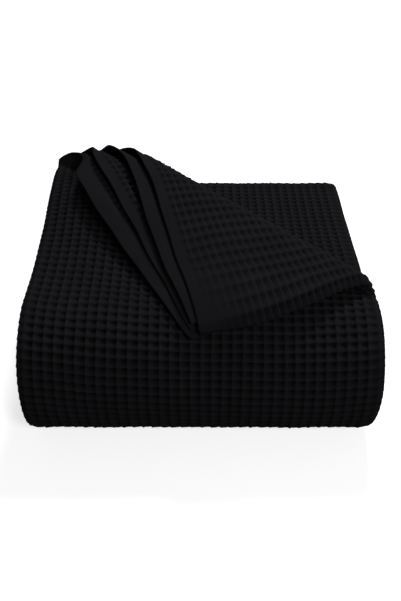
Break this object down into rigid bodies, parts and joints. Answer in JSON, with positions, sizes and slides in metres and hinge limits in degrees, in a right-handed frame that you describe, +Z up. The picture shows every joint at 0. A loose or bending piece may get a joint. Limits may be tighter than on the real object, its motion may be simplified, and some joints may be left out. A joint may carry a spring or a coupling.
{
  "type": "folded waffle weave blanket",
  "caption": "Black waffle weave cotton blanket folded into a soft bundle, its free end turned back at an angle so that its hems fan out above the rounded front.",
  "frame": {"origin": "middle of the footprint, on the surface the bundle lies on", "axes": "+Z up, -Y towards the rounded front, +X to the right seen from the front"},
  "size_m": [0.3753, 0.3921, 0.2347],
  "materials": {
    "cotton": "matte black waffle weave with plain hems"
  },
  "bodies": {
    "root": {"blanket": "cotton"}
  },
  "joints": []
}
